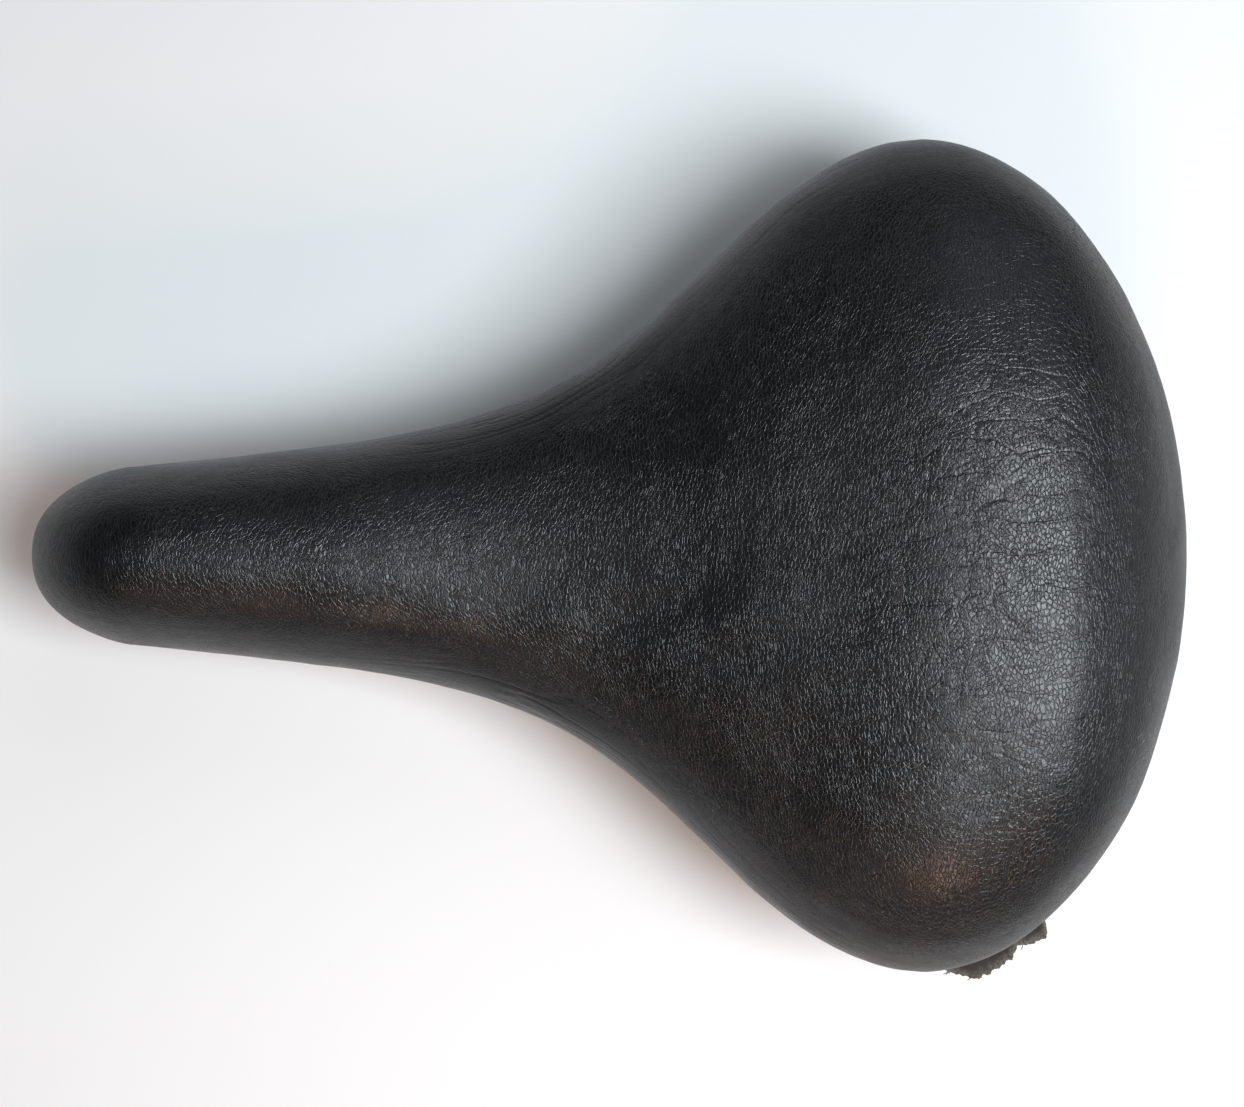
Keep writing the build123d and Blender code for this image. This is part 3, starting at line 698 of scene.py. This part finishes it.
def metal(name, colour, rough=0.3, metallic=1.0, spots=0.0, scratch=1.0, grain=0.0):
    m = Mat(name)
    s = m.noise(55.0, 5.0, 0.6, seed=1.0)
    fine = m.noise(900.0, 4.0, 0.6, seed=2.0)
    lines = m.noise(180.0, 5.0, 0.7, co=m.scaled((0.12, 3.0, 3.0)), seed=3.0)
    dark = tuple(c * 0.55 for c in colour)
    col = m.mix(m.ramp(s, 0.35, 0.75, 0.0, 0.45), colour, dark)
    if spots:
        rust = m.ramp(m.noise(240.0, 4.0, 0.6, seed=6.0), 0.66, 0.72, 0.0, spots)
        col = m.mix(rust, col, (0.13, 0.055, 0.025))
    r = m.math("ADD", m.ramp(lines, 0.3, 0.7, rough - 0.06 * scratch, rough + 0.10 * scratch), m.math("MULTIPLY", fine, 0.05))
    m.set(Base_Color=col, Roughness=r)
    m.b.inputs["Metallic"].default_value = metallic
    n = m.bump(lines, 0.000010 * scratch)
    n = m.bump(fine, 0.000012 + grain, n)
    m.set(Normal=n)
    return m


def paint(name, colour=(0.012, 0.012, 0.013)):
    m = Mat(name)
    peel = m.noise(700.0, 2.0, 0.5, seed=4.0)
    wear = m.ramp(m.noise(120.0, 5.0, 0.65, seed=5.0), 0.62, 0.70)
    col = m.mix(m.math("MULTIPLY", wear, 0.5), m.mix(m.noise(40.0, 3.0), colour, tuple(c * 1.8 for c in colour)), (0.05, 0.047, 0.045))
    m.set(Base_Color=col, Roughness=m.ramp(m.noise(90.0, 4.0, seed=8.0), 0.3, 0.7, 0.28, 0.42), Normal=m.bump(peel, 0.00003))
    return m


def plastic(name, colour=(0.014, 0.014, 0.015)):
    m = Mat(name)
    tex = m.edge(1400.0, m.noise_vec(600.0, 0.0006))
    flow = m.noise(18.0, 4.0, 0.6, distortion=1.5, seed=2.0)
    col = m.mix(m.ramp(flow, 0.35, 0.7), colour, tuple(c * 2.2 for c in colour))
    dust_ = m.ramp(m.noise(75.0, 5.0, 0.65, seed=3.0), 0.55, 0.75, 0.0, 0.35)
    col = m.mix(dust_, col, (0.07, 0.065, 0.058))
    m.set(Base_Color=col, Roughness=m.ramp(flow, 0.3, 0.7, 0.46, 0.6), Normal=m.bump(m.ramp(tex, 0.0, 0.35), 0.00005))
    return m


leather = leathercloth("black_leathercloth")
give(cover, leather)

foam_mat = Mat("foam_cells")
cells = foam_mat.edge(1300.0, foam_mat.noise_vec(900.0, 0.0006))
foam_mat.set(Base_Color=foam_mat.mix(foam_mat.ramp(foam_mat.noise(40.0, 4.0), 0.35, 0.7), (0.62, 0.50, 0.24), (0.74, 0.63, 0.36)), Roughness=0.9,
             Normal=foam_mat.bump(foam_mat.ramp(cells, 0.0, 0.3), 0.0003))
give(foam, foam_mat)

torn = Mat("frayed_backing")
e_, below_ = torn.attr("edge"), torn.attr("below")
weave = torn.noise(1700.0, 4.0, 0.7, seed=3.0)
base = torn.mix(below_, (0.020, 0.018, 0.017), (0.085, 0.072, 0.060))
base = torn.mix(torn.math("MULTIPLY", torn.ramp(e_, 0.80, 0.98), torn.ramp(weave, 0.3, 0.6)), base, (0.16, 0.14, 0.12))
base = torn.mix(torn.ramp(torn.noise(260.0, 4.0, seed=5.0), 0.4, 0.7, 0.0, 0.6), base, (0.045, 0.040, 0.035))
torn.set(Base_Color=base, Roughness=0.88, Normal=torn.bump(weave, 0.0002))
give(flap, torn)
thread_mat = Mat("backing_threads")
thread_mat.set(Base_Color=thread_mat.mix(thread_mat.noise(900.0, 3.0), (0.05, 0.045, 0.04), (0.20, 0.18, 0.155)), Roughness=0.9, Normal=thread_mat.bump(thread_mat.noise(4000.0), 0.00005))
give(threads, thread_mat)

chrome = metal("chrome_wire", (0.66, 0.66, 0.67), 0.17, spots=0.5)
spring_mat = metal("spring_chrome", (0.60, 0.60, 0.61), 0.22, spots=0.7)
zinc = metal("zinc_steel", (0.52, 0.53, 0.56), 0.38, spots=0.3, scratch=1.3, grain=0.00001)
staple_mat = metal("staple_wire", (0.55, 0.55, 0.56), 0.35, spots=0.4)
black_steel = paint("black_stove_paint")
shell_mat = plastic("moulded_shell")
for ob in springs.values():
    give(ob, spring_mat)
by_slot = {"zinc_steel": zinc, "shell_plastic": shell_mat, "rail_steel": chrome, "staple_steel": staple_mat, "black_painted_steel": black_steel,
           "spring_steel": spring_mat, "foam": foam_mat, "black_leathercloth": leather, "frayed_backing": torn}
slot_of = {s["node"]: s["material_slot"] for s in frame["record"]["subparts"]}
for name, ob in nodes.items():
    give(ob, by_slot[slot_of[name]])

# ------------------------------------------------------------------ the frame the pieces ride on
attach(cover, "seat")
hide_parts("cover")
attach(foam, "seat")
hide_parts("foam_pad")
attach(flap, "seat")
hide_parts("torn_hem_flap")
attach(threads, "seat")
for side, ob in springs.items():
    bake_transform(ob)
    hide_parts(f"{side}_spring")

# ------------------------------------------------------------------ stage, lights and camera
floor_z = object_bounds()[0][2] if not hasattr(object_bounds()[0], "z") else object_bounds()[0].z
me = bpy.data.meshes.new("floor")
bm = bmesh.new()
bmesh.ops.create_grid(bm, x_segments=60, y_segments=60, size=2.5)
bm.to_mesh(me)
bm.free()
floor = bpy.data.objects.new("floor", me)
floor.location = (0, 0, floor_z - 0.0001)
bpy.context.scene.collection.objects.link(floor)
fm = Mat("pale_table")
fm.set(Base_Color=fm.mix(fm.ramp(fm.noise(3.0, 4.0), 0.3, 0.7), (0.87, 0.865, 0.855), (0.90, 0.895, 0.89)), Roughness=0.55, Normal=fm.bump(fm.noise(400.0, 3.0), 0.00002))
give(floor, fm)


def area(name, place, aim, size, power, colour):
    l = bpy.data.lights.new(name, "AREA")
    l.shape = "RECTANGLE"
    l.size, l.size_y = size
    l.energy = power
    l.color = colour
    o = bpy.data.objects.new(name, l)
    o.location = place
    o.rotation_euler = (Vector(aim) - Vector(place)).to_track_quat("-Z", "Y").to_euler()
    o.visible_camera = False
    bpy.context.scene.collection.objects.link(o)
    return o


area("window_light", (-0.43, 0.13, 0.96), (-0.10, 0, 0.05), (0.36, 0.56), 11.0, (0.88, 0.95, 1.0))
area("overhead_light", (0.25, 0.20, 1.9), (0.1, 0, 0), (1.3, 1.3), 1.9, (0.96, 0.98, 1.0))
area("warm_light", (-0.12, 0.56, 0.53), (-0.09, 0.06, 0.05), (0.18, 0.18), 1.45, (1.0, 0.63, 0.46))
area("warm_fill", (0.45, 1.00, 0.85), (0.05, 0.05, 0.03), (0.5, 0.5), 0.75, (1.0, 0.80, 0.70))
area("rear_fill", (-1.3, 0.15, 0.50), (-0.12, 0, 0.04), (0.9, 0.45), 0.9, (0.92, 0.96, 1.0))
area("cool_fill", (-0.40, -0.95, 1.15), (0.0, -0.03, 0), (0.9, 0.8), 2.7, (0.80, 0.92, 1.0))
world = bpy.data.worlds.new("studio")
world.use_nodes = True
wt = world.node_tree
back = wt.nodes["Background"]
back.inputs[0].default_value = (0.86, 0.93, 1.0, 1)
wc = wt.nodes.new("ShaderNodeTexCoord")
ws = wt.nodes.new("ShaderNodeSeparateXYZ")
wr = wt.nodes.new("ShaderNodeMapRange")
wr.interpolation_type = "SMOOTHSTEP"
wt.links.new(wc.outputs["Generated"], ws.inputs[0])
wt.links.new(ws.outputs["Z"], wr.inputs["Value"])
for key, v in (("From Min", 0.05), ("From Max", 0.42), ("To Min", 0.55), ("To Max", 0.035)):
    wr.inputs[key].default_value = v
wt.links.new(wr.outputs["Result"], back.inputs[1])
bpy.context.scene.world = world
bpy.context.scene.view_settings.view_transform = "Standard"

CAM_H = 0.60                       # above the rim of the seat
cam_data = bpy.data.cameras.new("camera")
cam = bpy.data.objects.new("camera", cam_data)
bpy.context.scene.collection.objects.link(cam)
PX = 0.0002379                     # metres a pixel at the seat's rim, for a frame 1244 wide
cx_, cy_ = 0.125 - (622 - 31) * PX - 0.0017, (553.5 - 555.6) * PX
cam.location = (cx_, cy_, 0.035 + CAM_H)
# image right is -X and image up is -Y
cam.rotation_euler = (0, 0, math.pi)
cam_data.sensor_fit = "HORIZONTAL"
cam_data.sensor_width = 36.0
cam_data.lens = 36.0 * CAM_H / (1244 * PX) * 0.996
cam_data.clip_start = 0.01
bpy.context.scene.camera = cam
bpy.context.view_layer.update()
